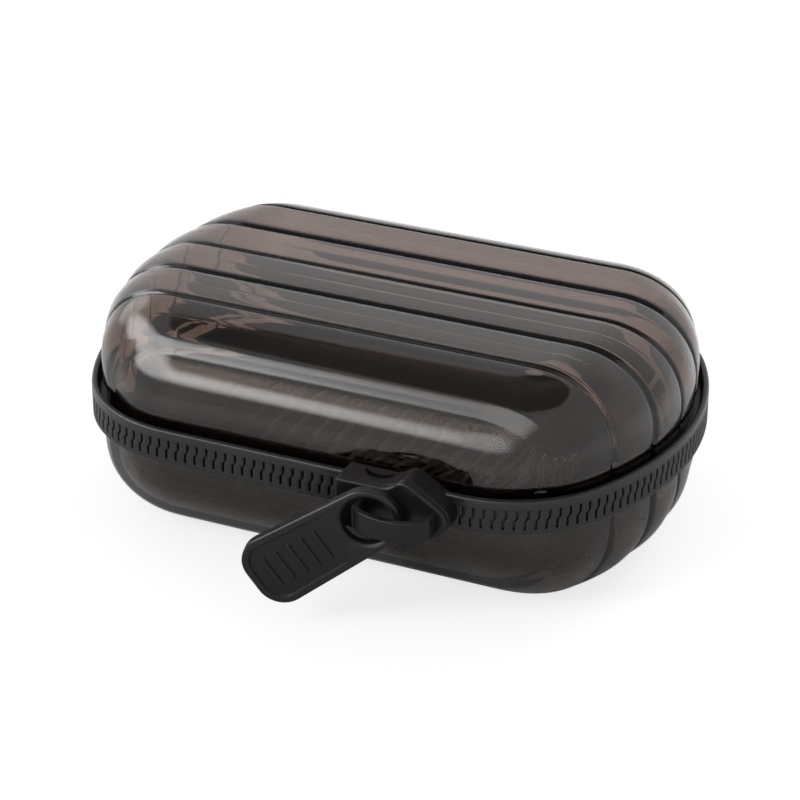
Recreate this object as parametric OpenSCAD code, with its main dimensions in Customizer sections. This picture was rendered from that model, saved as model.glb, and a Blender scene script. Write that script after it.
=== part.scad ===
// Travel soap box: a ribbed see-through lid and base like a small hard suitcase, closed by a soft
// band moulded as a zipper, with a slider, a pull tab and a loose drain tray inside.
// Origin: centre of the rest face under the base. +X runs along the box, -Y is the slider side.

/* [Plan outline] */
// Length over the zipper band
band_len = 115; // [105:1:140]
// Width over the zipper band
band_w = 80; // [74:1:96]
// Radius of the four plan corners
corner_r = 25; // [20:0.5:30]
// Radius of the two bowed ends
end_r = 56; // [50:1:80]

/* [Zipper band] */
// Height of the band
band_h = 6.6; // [6:0.1:9]
// Wall of the band outside the two rims
band_wall = 1.5; // [1.2:0.1:2]
// Thickness of the sealing tongue between the two rims
tongue_t = 1.2; // [0.8:0.1:2]
// Wall of the sealing lip that stands up inside the lid's rim
lip_t = 0.9; // [0.6:0.1:1.2]
// Gap between the lid's wall and this lip
lip_gap = 0.4; // [0.3:0.05:0.6]
// Height of this lip above the band
lip_rise = 0.6; // [0:0.1:1.5]
// Spacing of the tooth slots along the band
tooth_pitch = 1.86; // [1.6:0.02:3]
// Width of a tooth slot
slot_w = 0.45; // [0.3:0.05:0.7]
// Depth of a tooth slot
slot_depth = 0.7; // [0.4:0.05:0.9]
// Height of a tooth slot
slot_h = 3.7; // [2.5:0.1:4.2]
// Sideways jog of a slot at half height
slot_jog = 0.5; // [0.2:0.05:0.8]
// Plain margin above the slots
slot_margin = 1.8; // [1.2:0.1:2.2]

/* [Shells] */
// Wall thickness of lid and base
shell_wall = 1.6; // [1.2:0.1:2]
// Height of the lid above the band
lid_rise = 18.2; // [15:0.2:24]
// Depth of the base below the band, over the rest pad
base_drop = 20.6; // [16:0.2:26]
// Straight part of each shell's side wall next to the band
wall_rise = 3.5; // [2.5:0.1:5]
// Gap between a rim and the band around it
rim_gap = 0.15; // [0.1:0.05:0.3]
// Half length of the flat roof at the middle of the box
roof_x = 39; // [34:0.5:42]
// Radius of the bowed line where the roof starts to fall at the ends
roof_r = 60; // [50:1:120]
// Half width of the flat roof
roof_y = 21; // [16:0.5:24]
// Squareness of the end curve, 2 is an ellipse
end_square = 2.2; // [1.8:0.05:3]
// Squareness of the front and back curve
side_square = 1.7; // [1.5:0.05:2.6]
// Length of the plain rest pad under the base
pad_len = 60; // [40:1:68]
// Width of the rest pad
pad_w = 36; // [24:1:40]
// Height of the rest pad below the ribs
pad_h = 0.4; // [0.2:0.1:0.8]

/* [Ribs] */
// Spacing of the grooves across the roof
rib_pitch = 11; // [9:0.1:12]
// Distance from the middle to the outer groove
outer_groove_y = 32; // [28:0.1:34]
// Depth of a groove
groove_d = 0.35; // [0.2:0.05:0.6]
// Half width of a groove
groove_half = 0.5; // [0.3:0.05:0.9]
// Crown of each half panel between two grooves
crown = 0.16; // [0.05:0.01:0.3]

/* [Drain tray] */
// Gap between the tray's edge and the band outline
tray_inset = 9.8; // [8:0.1:12]
// Height of the tray's plate above the base's floor
tray_stand = 5.4; // [3:0.1:8]
// Thickness of the tray's plate
tray_t = 1.6; // [1.2:0.1:2.5]
// Height of the ribs that the soap lies on
tray_rib_h = 1.4; // [0.8:0.1:2.5]
// Width of one of these ribs
tray_rib_w = 1.2; // [0.8:0.1:1.6]
// Number of drain slots
tray_slots = 15; // [9:1:17]
// Width of a drain slot
tray_slot_w = 2.2; // [1.6:0.1:2.4]
// Plain margin of the plate past the slots' ends
tray_margin_y = 8; // [5:0.5:12]
// Plain margin of the plate past the outer ribs
tray_margin_x = 8; // [6:0.5:14]
// Diameter of a foot under the tray
foot_d = 5; // [3:0.5:7]
// Distance of the feet from the plate's ends
foot_in_x = 22; // [16:1:26]
// Distance of the feet from the plate's front and back
foot_in_y = 12; // [9:1:16]

/* [Slider and pull tab] */
// Distance of the slider's middle from the middle of the box
slider_x = 19.8; // [0:0.1:22]
// Length of the narrow tail, measured from the slider's middle
slider_tail = 11.9; // [10:0.1:14]
// How far the slider's face stands proud of the band
slider_proud = 5; // [4:0.1:6.5]
// Half height of the tail
tail_half = 4.7; // [4:0.1:5.4]
// Half height of the head at its crests
crest_half = 6.4; // [6:0.1:7.4]
// Distance of the two crests from the slider's middle
crest_at = 1.1; // [0:0.1:2]
// Distance of the nose from the slider's middle
nose_at = 9.1; // [8:0.1:10]
// Height of the bail strip
bail_h = 4; // [3:0.1:5]
// Thickness of the bail strip
bail_t = 1.3; // [1:0.1:1.6]
// Reach of the bail in front of the slider's face
bail_reach = 6; // [5.2:0.1:8]
// Length of the bail along the box
bail_len = 14.4; // [13:0.1:16]
// Bow of the bail's front
bail_bow = 2.4; // [1.6:0.1:3]
// Distance of the crescent's middle from the slider's middle
crescent_at = 5.4; // [4.4:0.1:6.4]
// Half length of the crescent
crescent_half = 2.8; // [2:0.1:3.4]
// Width of the crescent at its middle
crescent_w = 1.2; // [0.8:0.1:1.6]
// Thickness of the pull tab
tab_t = 2.3; // [1.8:0.1:2.6]
// Length of the pull tab from the middle of its hole to its far end
tab_len = 24.6; // [20:0.2:32]
// Width of the pull tab at its far end
tab_w = 13.5; // [12:0.1:16]
// Radius of the ring round the hole
tab_ring_r = 5.9; // [5.6:0.1:6.4]
// Diameter of the hole
tab_hole_d = 9; // [8.4:0.1:9.4]
// Corner radius of the far end
tab_corner_r = 4.9; // [3:0.1:5.5]
// Width of the raised rim round the panel
tab_rim = 1.35; // [0.8:0.05:2]
// Depth of the panel below the rim
tab_panel_d = 0.45; // [0.2:0.05:0.8]
// Number of grip bars on the panel
grip_bars = 5; // [3:1:7]
// Width of a grip bar
grip_bar_w = 0.9; // [0.6:0.1:1.2]
// Droop of the pull tab below the level
tab_droop = 35; // [15:1:42]
// Swing of the pull tab away from the band
tab_swing = 15; // [10:1:40]

/* [Hidden] */
$fn = 96;

half_len = band_len / 2;
half_w = band_w / 2;
band_z0 = base_drop;
band_z1 = base_drop + band_h;
mid_z = band_z0 + band_h / 2;
rim_in = band_wall + rim_gap;

// The plan outline has straight sides, four corner arcs and two bowed ends that all meet smoothly.
corner_y = half_w - corner_r;
end_cx = half_len - end_r;
corner_x = end_cx + sqrt(pow(end_r - corner_r, 2) - pow(corner_y, 2));
corner_ang = atan2(corner_y, corner_x - end_cx);

// Half length of the plan outline, drawn in by i, at the station y
function wall_x(y, i) =
    let (a = abs(y), meet_y = corner_y * (end_r - i) / (end_r - corner_r))
    a < meet_y
        ? end_cx + sqrt(pow(end_r - i, 2) - a * a)
        : corner_x + sqrt(max(pow(corner_r - i, 2) - pow(max(a - corner_y, 0), 2), 0));

module plan(i) {
    square([2 * corner_x, 2 * (half_w - i)], center = true);
    for (sx = [-1, 1], sy = [-1, 1])
        translate([sx * corner_x, sy * corner_y])
            circle(r = corner_r - i);
    for (turn = [0, 180])
        rotate(turn)
            intersection() {
                translate([end_cx, 0])
                    circle(r = end_r - i, $fn = 240);
                polygon([
                    [end_cx, 0],
                    [end_cx + 2 * end_r * cos(corner_ang), -2 * end_r * sin(corner_ang)],
                    [end_cx + 2 * end_r * cos(corner_ang), 2 * end_r * sin(corner_ang)]
                ]);
            }
}

// Shells. Each is drawn with its roof up and its rim at z = 0, as a set of stations across the box.
// At a station the section is a wall, a quarter of a squared ellipse, the roof, and the same back.
arc_steps = 6;
inner_steps = 4;

// Squared ellipse: the second co-ordinate where the first is u, both from 0 to 1
function squared(u, n) = pow(max(1 - pow(u, n), 0), 1 / n);

function roof_h(y, rise, t, foot) =
    let (edge = half_w - rim_in - t, u = min(max((abs(y) - roof_y) / (edge - roof_y), 0), 1))
    foot + (rise - t - foot) * squared(u, side_square);

function roof_edge_x(y) = roof_x - (roof_r - sqrt(roof_r * roof_r - y * y));

// Height of the panels above the bottoms of the grooves at the station y
full_panels = 2;
function rib(y) =
    let (
        a = abs(y),
        cell = a < full_panels * rib_pitch ? floor(a / rib_pitch) : full_panels,
        start = cell * rib_pitch,
        end = cell < full_panels ? start + rib_pitch : outer_groove_y,
        past = a >= outer_groove_y,
        away = past ? a - outer_groove_y : min(a - start, end - a),
        half_panel = (end - start) / 2,
        s = min(away / half_panel, 1)
    )
    groove_d * min(away / groove_half, 1) + (past ? 0 : crown * 4 * s * (1 - s));

// Stations from the middle out: groove, its shoulder, crown, crease, crown, shoulder, and so on
function cell_stations(y0, y1) =
    [y0, y0 + groove_half, for (q = [0.25, 0.5, 0.75]) y0 + q * (y1 - y0), y1 - groove_half];
edge_steps = 6;
edge_y = half_w - rim_in;
half_stations = concat(
    cell_stations(0, rib_pitch),
    cell_stations(rib_pitch, full_panels * rib_pitch),
    cell_stations(full_panels * rib_pitch, outer_groove_y),
    [outer_groove_y, outer_groove_y + groove_half],
    [for (k = [1:edge_steps])
        outer_groove_y + groove_half
        + (edge_y - outer_groove_y - groove_half) * sin(90 * k / edge_steps)]
);
count = len(half_stations);
stations = concat(
    [for (k = [count - 1:-1:1]) -half_stations[k]],
    half_stations
);

// One half of the ribbed outer section at the station y: rim, plain skirt, rib foot, then the curve
function outer_half(y, rise, skirt) =
    let (
        xw = wall_x(y, rim_in),
        xt = min(roof_edge_x(y), xw - 1),
        foot = skirt + wall_rise,
        h = roof_h(y, rise, 0, foot),
        e = rib(y)
    )
    concat(
        [[xw, y, 0], [xw, y, skirt + rim_gap], [xw + e, y, skirt + 2 * rim_gap]],
        curve(xw, xt, y, foot, h, e, arc_steps)
    );

// One half of the plain inner section
function inner_half(y, rise, skirt) =
    let (
        ys = y * (edge_y - shell_wall) / edge_y,
        xw = wall_x(ys, rim_in + shell_wall),
        xt = min(roof_edge_x(ys), xw - 1),
        foot = skirt + wall_rise
    )
    concat([[xw, ys, 0]], curve(xw, xt, ys, foot, roof_h(ys, rise, shell_wall, foot), 0, inner_steps));

function curve(xw, xt, y, foot, h, e, steps) =
    [for (k = [0:steps])
        let (a = 90 * k / steps)
        [
            xt + (xw - xt) * pow(cos(a), 2 / end_square) + e * cos(a),
            y,
            foot + (h - foot) * pow(sin(a), 2 / end_square) + e * sin(a)
        ]];

function mirrored(half) =
    concat(half, [for (k = [len(half) - 1:-1:0]) [-half[k].x, half[k].y, half[k].z]]);

// Two triangles of a skin between the rows r and r + 1, with n points in a row, counted from first
function skin_faces(first, rows, n, out) =
    [for (r = [0:rows - 2], k = [0:n - 2])
        let (a = first + r * n + k, b = a + n)
        each out ? [[a, b + 1, b], [a, a + 1, b + 1]] : [[a, b, b + 1], [a, b + 1, a + 1]]];

// The inner skin has every second station, so each of its steps along the rim meets two outer ones
module shell(rise, skirt) {
    n = 2 * (arc_steps + 4);
    m = 2 * (inner_steps + 2);
    rows = len(stations);
    inner_rows = (rows + 1) / 2;
    shift = rows * n;
    last = (rows - 1) * n;
    inner_last = shift + (inner_rows - 1) * m;
    faces = concat(
        skin_faces(0, rows, n, true),
        skin_faces(shift, inner_rows, m, false),
        [[for (k = [n - 1:-1:0]) k]],
        [[for (k = [0:n - 1]) last + k]],
        [[for (k = [0:m - 1]) shift + k]],
        [[for (k = [m - 1:-1:0]) inner_last + k]],
        [for (r = [0:inner_rows - 2])
            let (a = 2 * r * n, b = a + n, c = b + n, d = shift + r * m, e = d + m)
            each [
                [a, b, d],
                [b, e, d],
                [b, c, e],
                [a + n - 1, d + m - 1, b + n - 1],
                [b + n - 1, d + m - 1, e + m - 1],
                [b + n - 1, e + m - 1, c + n - 1]
            ]],
        [
            [0, shift, shift + m - 1, n - 1],
            [last, last + n - 1, inner_last + m - 1, inner_last]
        ]
    );
    points = concat(
        [for (y = stations) each mirrored(outer_half(y, rise, skirt))],
        [for (r = [0:inner_rows - 1]) each mirrored(inner_half(stations[2 * r], rise, skirt))]
    );
    polyhedron(points = points, faces = faces, convexity = 6);
}

// Both rims stand on the sealing tongue
skirt_h = (band_h - tongue_t) / 2;

module lid_shell() {
    color([0.32, 0.29, 0.28, 0.55])
        translate([0, 0, band_z1 - skirt_h])
            shell(lid_rise - groove_d - crown + skirt_h, skirt_h);
}

module base_shell() {
    ribs_z = pad_h + groove_d + crown;
    color([0.32, 0.29, 0.28, 0.55])
        union() {
            translate([0, 0, band_z0 + skirt_h])
                rotate([180, 0, 0])
                    shell(base_drop - ribs_z + skirt_h, skirt_h);
            translate([-pad_len / 2, -pad_w / 2, 0])
                cube([pad_len, pad_w, ribs_z + shell_wall / 4]);
        }
}

// Zipper band: an outer wall, a sealing tongue between the two rims and a lip inside the lid's rim
module slot() {
    half = slot_w / 2;
    h = slot_h / 2;
    rotate([90, 0, 0])
        translate([0, 0, -slot_depth])
            linear_extrude(2 * slot_depth)
                polygon([
                    [slot_jog / 2 - half, h],
                    [slot_jog / 2 - half, slot_w],
                    [-slot_jog / 2 - half, -slot_w],
                    [-slot_jog / 2 - half, -h],
                    [-slot_jog / 2 + half, -h],
                    [-slot_jog / 2 + half, -slot_w],
                    [slot_jog / 2 + half, slot_w],
                    [slot_jog / 2 + half, h]
                ]);
}

module band_wall_ring() {
    difference() {
        plan(0);
        plan(band_wall);
    }
}

module zip_band() {
    slot_z = band_z1 - slot_margin - slot_h / 2;
    straight_n = floor(2 * corner_x / tooth_pitch);
    corner_n = floor(corner_r * (90 - corner_ang) * PI / 180 / tooth_pitch);
    end_n = floor(end_r * 2 * corner_ang * PI / 180 / tooth_pitch);
    slider_end = slider_x + nose_at + slot_w;
    lip_in = rim_in + shell_wall + lip_gap;
    color([0.09, 0.09, 0.1])
        difference() {
            union() {
                translate([0, 0, band_z0])
                    linear_extrude(band_h)
                        band_wall_ring();
                translate([0, 0, mid_z - tongue_t / 2])
                    linear_extrude(tongue_t)
                        difference() {
                            plan(band_wall / 2);
                            plan(lip_in + lip_t);
                        }
                translate([0, 0, mid_z - tongue_t / 2])
                    linear_extrude(band_z1 + lip_rise - mid_z + tongue_t / 2)
                        difference() {
                            plan(lip_in);
                            plan(lip_in + lip_t);
                        }
            }
            for (side = [0, 180])
                rotate(side) {
                    for (k = [0:straight_n - 1]) {
                        x = -corner_x + (k + 0.5) * 2 * corner_x / straight_n;
                        if (side == 180 || x < slider_x - slider_tail - slot_w || x > slider_end)
                            translate([x, -half_w, slot_z])
                                slot();
                    }
                    for (k = [0:corner_n - 1]) {
                        a = (k + 0.5) * (90 - corner_ang) / corner_n;
                        translate([corner_x, -corner_y, slot_z])
                            rotate(a)
                                translate([0, -corner_r, 0])
                                    slot();
                        translate([corner_x, corner_y, slot_z])
                            rotate(180 - a)
                                translate([0, -corner_r, 0])
                                    slot();
                    }
                    for (k = [0:end_n - 1]) {
                        a = 90 - corner_ang + (k + 0.5) * 2 * corner_ang / end_n;
                        translate([end_cx, 0, slot_z])
                            rotate(a)
                                translate([0, -end_r, 0])
                                    slot();
                    }
                }
        }
}

// Outline round two circles, one of radius r at p and one of radius t at q, with straight sides.
// The sides lie a hair inside the tangents, so that they cross the circles cleanly.
hair = 0.01;
module link(p, r, q, t) {
    ang = atan2(q.y - p.y, q.x - p.x);
    lean = acos((r - t) / norm(q - p));
    translate(p)
        circle(r = r);
    translate(q)
        circle(r = t);
    polygon([
        p + (r - hair) * [cos(ang + lean), sin(ang + lean)],
        q + (t - hair) * [cos(ang + lean), sin(ang + lean)],
        q + (t - hair) * [cos(ang - lean), sin(ang - lean)],
        p + (r - hair) * [cos(ang - lean), sin(ang - lean)]
    ]);
}

// Slider: a zipper slider seen from the front, with a narrow tail to the left and a pointed head
crest_r = 2.2;
nose_r = 3.2;
neck_r = 4;
crest_y = crest_half - crest_r;
crescent_sag = 1.1;
crescent_back = 0.4;
neck_x = crest_at - sqrt(pow(neck_r + crest_r, 2) - pow(neck_r + tail_half - crest_y, 2));

module slider_front() {
    nose = [nose_at - nose_r, 0];
    translate([-slider_tail, -tail_half])
        square([slider_tail + crest_at, 2 * tail_half]);
    link([crest_at, -crest_y], crest_r, [crest_at, crest_y], crest_r);
    for (s = [-1, 1]) {
        link([crest_at, s * crest_y], crest_r, nose, nose_r);
        // Hollow neck between the tail and a crest
        difference() {
            polygon([
                [neck_x, 0],
                [neck_x, s * tail_half],
                [
                    crest_at + crest_r * (neck_x - crest_at) / (neck_r + crest_r),
                    s * (crest_y + crest_r * (neck_r + tail_half - crest_y) / (neck_r + crest_r))
                ],
                [crest_at, s * crest_y],
                [crest_at, 0]
            ]);
            translate([neck_x, s * (tail_half + neck_r - hair)])
                circle(r = neck_r);
        }
    }
}

// Crescent cut in the slider's top, between two arcs that meet at its tips
module crescent(half, front_sag, back_sag) {
    front_r = (half * half + front_sag * front_sag) / (2 * front_sag);
    back_r = (half * half + back_sag * back_sag) / (2 * back_sag);
    difference() {
        translate([0, front_r - front_sag])
            circle(r = front_r);
        translate([0, back_r - back_sag])
            circle(r = back_r);
        translate([-2 * half, 0])
            square([4 * half, 2 * front_r]);
    }
}

// Bail: a flat strip bowed out in front of the slider, on two legs
module bail() {
    half = bail_len / 2;
    bow_r = (half * half + bail_bow * bail_bow) / (2 * bail_bow);
    intersection() {
        translate([0, bow_r - bail_reach])
            difference() {
                circle(r = bow_r);
                circle(r = bow_r - bail_t);
            }
        translate([-half, -bail_reach - 1])
            square([bail_len, bail_bow + bail_t + 1]);
    }
    for (s = [-1, 1])
        translate([s * (half - bail_t / 2) - bail_t / 2, bail_bow - bail_reach])
            square([bail_t, bail_reach - bail_bow + 0.5]);
}

module zip_slider() {
    face_y = -half_w - slider_proud;
    back_y = -half_w + rim_in - rim_gap;
    color([0.09, 0.09, 0.1])
        union() {
            difference() {
                translate([slider_x, back_y, mid_z])
                    rotate([90, 0, 0])
                        linear_extrude(back_y - face_y)
                            slider_front();
                translate([0, 0, band_z0])
                    linear_extrude(band_h)
                        plan(0);
                translate([slider_x - crescent_at, -half_w + crescent_back, band_z1 - 1])
                    linear_extrude(crest_half)
                        crescent(crescent_half, crescent_sag + crescent_w, crescent_sag);
            }
            translate([slider_x, face_y, mid_z - bail_h / 2])
                linear_extrude(bail_h)
                    bail();
        }
}

// Pull tab: a ring that links through the bail, widening to a rounded end with a sunk panel
function arc(c, r, a0, a1, n) =
    [for (k = [0:n]) c + r * [cos(a0 + (a1 - a0) * k / n), sin(a0 + (a1 - a0) * k / n)]];

module tab_outline(grow) {
    near_r = tab_ring_r + grow;
    far_r = tab_corner_r + grow;
    far = [tab_len - tab_corner_r, tab_w / 2 - tab_corner_r];
    lean = atan2(far.y, far.x) + acos((near_r - far_r) / norm(far));
    polygon(concat(
        arc(far, far_r, 0, lean, 9),
        arc([0, 0], near_r, lean, full_turn - lean, 36),
        arc([far.x, -far.y], far_r, -lean, 0, 9)
    ));
}

full_turn = 360;
bar_half = (tab_ring_r - tab_hole_d / 2) / 2;
pivot_back = tab_ring_r - bar_half;
pivot_ahead = 2.1;
pivot_y = -half_w - slider_proud - pivot_ahead;
module pull_tab() {
    panel_x0 = tab_ring_r + 0.9;
    panel_x1 = tab_len - tab_rim;
    bar_gap = (panel_x1 - panel_x0) / (grip_bars + 1);
    color([0.1, 0.1, 0.11])
        translate([slider_x, pivot_y, mid_z + pivot_back * sin(tab_droop)])
            rotate([0, 0, tab_swing])
                rotate([90, 0, 0])
                    rotate([0, 0, 180 + tab_droop])
                        translate([pivot_back, 0, -tab_t / 2])
                            difference() {
                                linear_extrude(tab_t)
                                    tab_outline(0);
                                translate([0, 0, -1])
                                    cylinder(d = tab_hole_d, h = tab_t + 2);
                                translate([0, 0, tab_t - tab_panel_d])
                                    linear_extrude(tab_panel_d + 1)
                                        difference() {
                                            intersection() {
                                                tab_outline(-tab_rim);
                                                translate([panel_x0, -tab_w])
                                                    square([tab_len, 2 * tab_w]);
                                            }
                                            for (k = [1:grip_bars])
                                                translate([panel_x0 + k * bar_gap - grip_bar_w / 2, -tab_w / 4])
                                                    square([grip_bar_w, tab_w / 2]);
                                        }
                            }
}

// Drain tray: a plate with narrow slots and a rib on each bar between them, on four feet
module drain_slot(len) {
    w = tray_slot_w / 2;
    polygon([
        [-w, -len / 2 + w], [-w / 2, -len / 2], [w / 2, -len / 2], [w, -len / 2 + w],
        [w, len / 2 - w], [w / 2, len / 2], [-w / 2, len / 2], [-w, len / 2 - w]
    ]);
}

module drain_tray() {
    floor_z = pad_h + groove_d + crown + shell_wall;
    plate_z = floor_z + tray_stand;
    slot_len = 2 * (half_w - tray_inset - tray_margin_y);
    slot_step = 2 * (half_len - tray_inset - tray_margin_x) / (tray_slots + 1);
    foot_x = half_len - tray_inset - foot_in_x;
    foot_y = half_w - tray_inset - foot_in_y;
    color([0.3, 0.28, 0.28, 0.8])
        union() {
            translate([0, 0, plate_z])
                linear_extrude(tray_t)
                    difference() {
                        plan(tray_inset);
                        for (k = [0:tray_slots - 1])
                            translate([(k - (tray_slots - 1) / 2) * slot_step, 0])
                                drain_slot(slot_len);
                    }
            for (k = [0:tray_slots])
                translate([
                    (k - tray_slots / 2) * slot_step - tray_rib_w / 2,
                    -slot_len / 2,
                    plate_z + tray_t
                ])
                    cube([tray_rib_w, slot_len, tray_rib_h]);
            for (sx = [-1, 1], sy = [-1, 1])
                translate([sx * foot_x, sy * foot_y, floor_z])
                    cylinder(d = foot_d, h = tray_stand, $fn = 32);
        }
}

base_shell();
lid_shell();
zip_band();
zip_slider();
pull_tab();
drain_tray();
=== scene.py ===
"""Travel soap box: smoky see-through lid and base with ribs, a black band moulded as a zipper with its
slider and pull tab, and a drain tray inside. Sizes are millimetres in the part's frame."""

import math

import bmesh
import bpy
import numpy as np
from mathutils import Matrix, Vector
from mathutils.geometry import tessellate_polygon


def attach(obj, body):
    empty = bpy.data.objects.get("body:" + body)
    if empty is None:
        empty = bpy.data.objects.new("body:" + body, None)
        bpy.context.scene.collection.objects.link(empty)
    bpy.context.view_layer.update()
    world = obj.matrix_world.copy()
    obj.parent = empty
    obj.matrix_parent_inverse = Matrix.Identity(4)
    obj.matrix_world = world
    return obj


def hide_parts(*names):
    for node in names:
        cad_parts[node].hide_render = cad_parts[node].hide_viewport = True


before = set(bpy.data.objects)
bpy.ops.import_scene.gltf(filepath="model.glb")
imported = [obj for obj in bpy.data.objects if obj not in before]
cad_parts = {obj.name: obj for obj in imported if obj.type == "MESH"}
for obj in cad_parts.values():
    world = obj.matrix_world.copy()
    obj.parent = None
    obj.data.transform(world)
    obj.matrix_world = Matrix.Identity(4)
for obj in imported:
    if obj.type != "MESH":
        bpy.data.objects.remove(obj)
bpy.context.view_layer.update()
MM = 0.001

# Plan outline, joint band and slider, the same as in the part's source
HALF_LEN, HALF_W = 57.5, 40.0
CORNER_R, END_R = 25.0, 56.0
BAND_Z0, BAND_Z1 = 20.6, 27.2
MID_Z = (BAND_Z0 + BAND_Z1) / 2
SLIDER_X, SLIDER_TAIL, SLIDER_NOSE, SLIDER_FRONT = 19.8, 11.9, 9.1, -45.0

# Shells: the wall stands RIM_IN in from the band's outer face, and its plain skirt stands in the band
RIM_IN, WALL, SKIRT, WALL_RISE = 2.5, 1.6, 2.7, 3.5
LID_RISE, BASE_DROP = 18.2, 20.6
ROOF_X, ROOF_R, ROOF_Y = 39.0, 60.0, 21.0
END_SQUARE, SIDE_SQUARE = 2.2, 1.7

# Relief of the shells: panels between grooves, a crease in each panel, a step past the outer groove
PITCH_Y, OUTER_Y = 11.0, 32.0
GROOVE_D, CROWN, END_CROWN = 0.35, 0.16, 0.35
CREASE_D, CREASE_W = 0.012, 0.22
STEP_D, STEP_FROM, STEP_TO, STEP_FADE = 0.6, OUTER_Y - 0.9, OUTER_Y + 1.0, 2.4
GROOVES = ((0, 0.40, 0.40), (PITCH_Y, 0.62, 0.50), (2 * PITCH_Y, 0.44, 0.40))  # place, half width, depth
CREASES = (0.5 * PITCH_Y, 1.5 * PITCH_Y, PITCH_Y + OUTER_Y / 2)

# Rest pad, the band's inner lip, and the tray with its straight rim and its foot
PAD_LEN, PAD_W, PAD_H, PAD_CORNER = 60.0, 36.0, 0.4, 2.5
LIP_IN, LIP_T, LIP_RISE = 4.3, 0.6, 0.6
TRAY_IN, TRAY_T, TRAY_DEPTH, TRAY_FLOOR_Z, TRAY_RIM = 5.3, 1.4, 11.5, 7.91, 1.5
FOOT_DEPTH, FOOT_T = 16.35, 1.1

CORNER_Y = HALF_W - CORNER_R
END_CX = HALF_LEN - END_R
CORNER_X = END_CX + math.sqrt((END_R - CORNER_R) ** 2 - CORNER_Y**2)
CORNER_ANG = math.degrees(math.atan2(CORNER_Y, CORNER_X - END_CX))
EDGE_Y = HALF_W - RIM_IN
RIBS_UP = PAD_H + GROOVE_D + CROWN


# ---- mesh helpers ----
def quads(n):
    """Corner numbers of every cell of a grid of point numbers."""
    return np.stack([n[:-1, :-1], n[:-1, 1:], n[1:, 1:], n[1:, :-1]], -1)


def strip(a, b):
    """Quads between two rows of point numbers."""
    return np.stack([a[:-1], a[1:], b[1:], b[:-1]], -1).tolist()


class Skin:
    """Gathers points and faces of one piece, then makes its object."""

    def __init__(self):
        self.points, self.faces, self.count, self.marks = [], [], 0, []

    def place(self, p, mark=None):
        """Adds the points of the array p[u, v]; returns their numbers."""
        nu, nv = p.shape[:2]
        n = np.arange(nu * nv).reshape(nu, nv) + self.count
        self.points.append(p.reshape(-1, 3))
        self.marks.append(np.zeros(nu * nv) if mark is None else np.asarray(mark, float).reshape(-1))
        self.count += nu * nv
        return n

    def grid(self, p, close_u=False, close_v=False, mark=None):
        """Adds the points and the quads between neighbours; returns the point numbers."""
        n = self.place(p, mark)
        a = np.vstack([n, n[:1]]) if close_u else n
        a = np.hstack([a, a[:, :1]]) if close_v else a
        self.faces += quads(a).reshape(-1, 4).tolist()
        return n

    def join(self, a, b):
        """Faces between the borders of two grids of point numbers that lie over each other."""
        for k in (0, -1):
            self.faces += strip(a[:, k], b[:, k])
            self.faces.append([int(n) for n in (a[k, 0], a[k, -1], b[k, -1], b[k, 0])])

    def cap(self, *loops):
        """Flat face over the first loop of point numbers, with the other loops as holes."""
        if len(loops) == 1:
            self.faces.append([int(i) for i in loops[0]])
            return
        pts = np.vstack(self.points)
        ids = np.concatenate([np.asarray(loop) for loop in loops])
        tris = tessellate_polygon([[Vector(pts[i]) for i in loop] for loop in loops])
        self.faces += ids[np.array(tris)].tolist()

    def object(self, name, material, slot, sharp, weighted=False):
        """The piece as an object: doubles merged, faces turned outward, edges over the sharp angle kept."""
        same = 2e-7
        mesh = bpy.data.meshes.new(name)
        pts = np.vstack(self.points)
        mesh.from_pydata((pts * MM).tolist(), [], self.faces)
        mark = mesh.attributes.new("mark", "FLOAT", "POINT")
        mark.data.foreach_set("value", np.concatenate(self.marks).astype(np.float32))
        b = bmesh.new()
        b.from_mesh(mesh)
        bmesh.ops.remove_doubles(b, verts=b.verts, dist=same)
        bmesh.ops.dissolve_degenerate(b, edges=b.edges, dist=same)
        bmesh.ops.recalc_face_normals(b, faces=b.faces)
        b.to_mesh(mesh)
        b.free()
        mesh.polygons.foreach_set("use_smooth", np.ones(len(mesh.polygons), bool))
        mesh.set_sharp_from_angle(angle=math.radians(sharp))
        mesh.materials.append(material)
        made = bpy.data.objects.new(name, mesh)
        bpy.context.scene.collection.objects.link(made)
        if weighted:
            made.modifiers.new("flat faces stay flat", "WEIGHTED_NORMAL").keep_sharp = True
        return made


def arc(cx, cy, r, a0, a1, n):
    """Points on a circle about (cx, cy) from angle a0 to a1 in degrees."""
    t = np.radians(np.linspace(a0, a1, n))
    return np.c_[cx + r * np.cos(t), cy + r * np.sin(t)]


def normals_of(loop):
    """Outward unit normals of a closed counter-clockwise outline, halfway between its two sides."""
    step = np.roll(loop, -1, 0) - loop
    step /= np.maximum(np.hypot(*step.T), 1e-9)[:, None]
    n = np.c_[step[:, 1], -step[:, 0]]
    n = n + np.roll(n, 1, 0)
    return n / np.maximum(np.hypot(*n.T), 1e-9)[:, None]


def tidy(loop, least=1e-3):
    """The closed outline without points that lie on the one before."""
    keep = np.hypot(*(loop - np.roll(loop, 1, 0)).T) > least
    return loop[keep]


def ring(loop, inset, z):
    """The closed outline drawn in by inset, at the height z."""
    n = normals_of(loop)
    return np.c_[loop - n * inset, np.full(len(loop), z)]


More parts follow.
